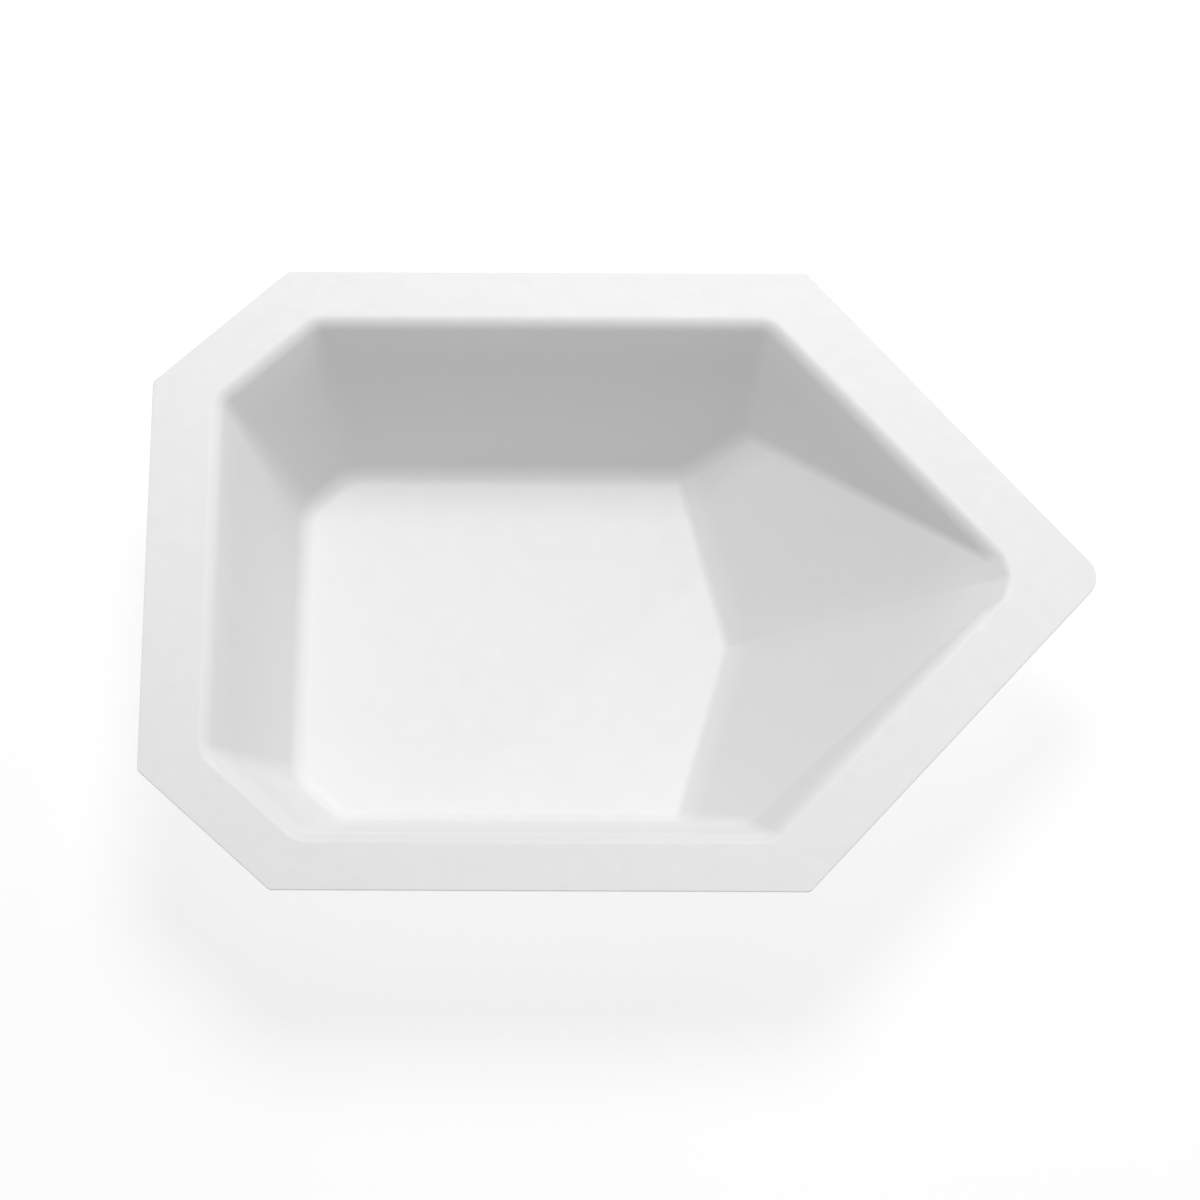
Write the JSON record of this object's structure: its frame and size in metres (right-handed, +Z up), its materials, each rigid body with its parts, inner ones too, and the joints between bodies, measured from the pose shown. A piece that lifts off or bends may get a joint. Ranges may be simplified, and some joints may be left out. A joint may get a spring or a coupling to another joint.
{
  "type": "pouring weighing boat",
  "caption": "Shallow white plastic weighing dish with a flat flange, leaning walls, cut corners at the blunt end and a ramp rising to a pointed pouring nose.",
  "frame": {"origin": "centre of the bounding box in plan, on the underside of the floor", "axes": "+X towards the pouring nose, +Z up out of the open tray, the shape is the same on both sides of the XZ plane"},
  "size_m": [0.137, 0.1, 0.0234],
  "materials": {
    "sheet": "satin white polystyrene sheet, slightly translucent"
  },
  "bodies": {
    "root": {"weighing_boat": "sheet"}
  },
  "joints": []
}
